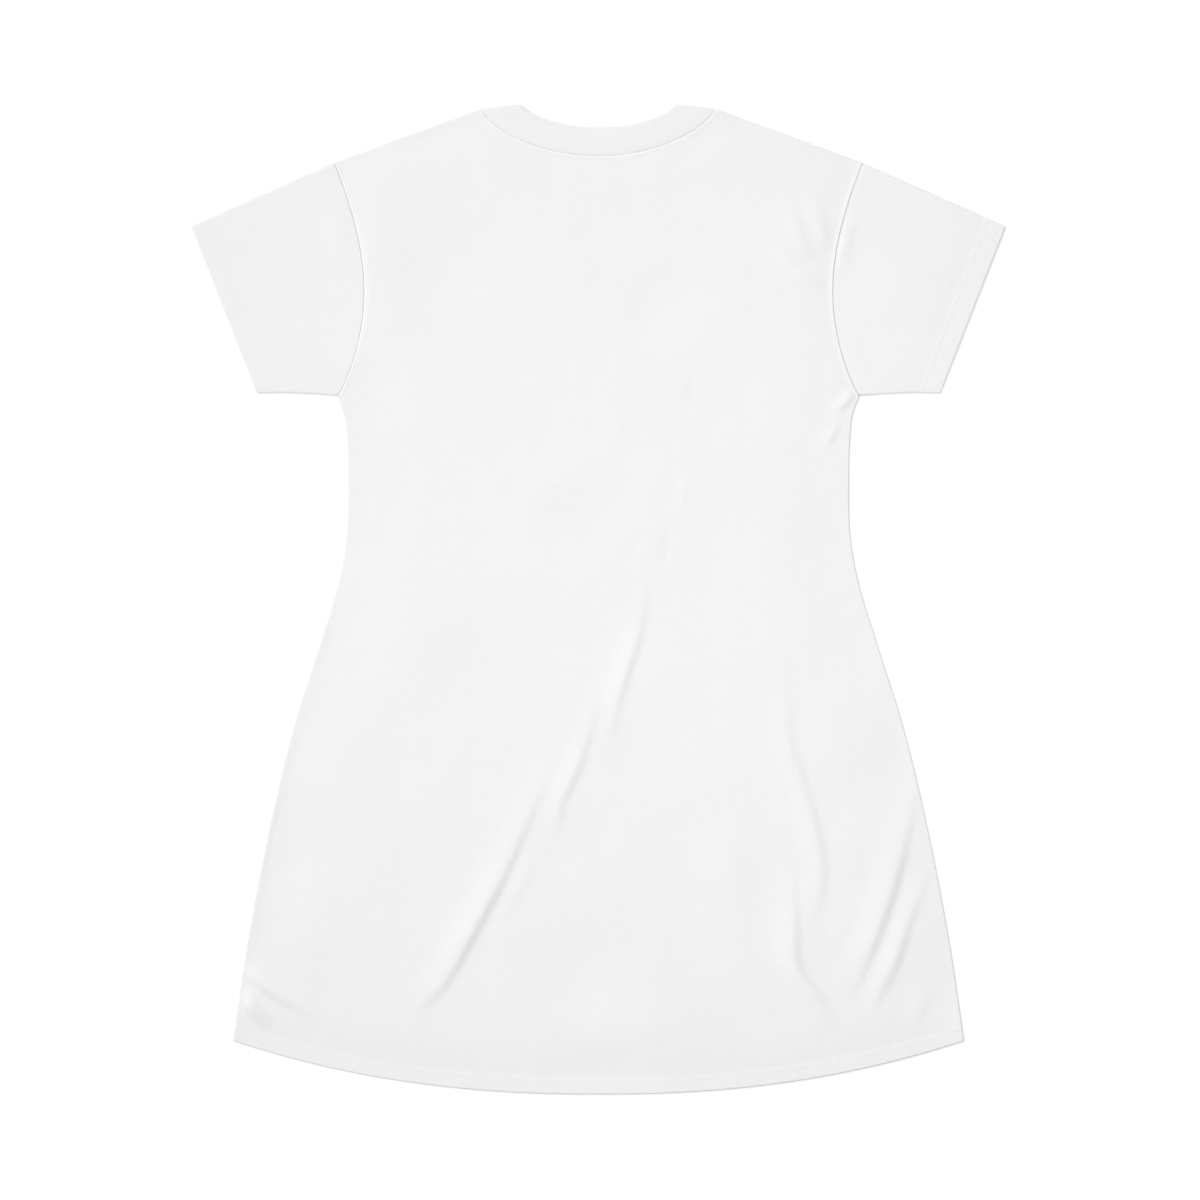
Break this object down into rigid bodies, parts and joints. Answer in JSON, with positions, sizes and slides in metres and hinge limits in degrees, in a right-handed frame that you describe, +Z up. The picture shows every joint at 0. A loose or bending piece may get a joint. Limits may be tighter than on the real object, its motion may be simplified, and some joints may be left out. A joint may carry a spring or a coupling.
{
  "type": "t-shirt dress",
  "caption": "White jersey t-shirt dress lying flat with its back up: crew neck with a rib band, short set-in sleeves, A-line skirt and curved hem",
  "frame": {"origin": "on the surface that the dress lies on, at the middle of its outline", "axes": "+Y runs up the dress from hem to neck, +Z up from the surface through the front and then the back panel, +X across the dress"},
  "size_m": [0.743, 0.903, 0.0082],
  "materials": {
    "jersey": "fine white single jersey, matt with a faint sheen",
    "rib": "fine white 1x1 rib knit, matt"
  },
  "bodies": {
    "root": {"back_panel": "jersey", "front_panel": "jersey", "sleeve_left": "jersey", "sleeve_right": "jersey", "neck_band": "rib"}
  },
  "joints": []
}
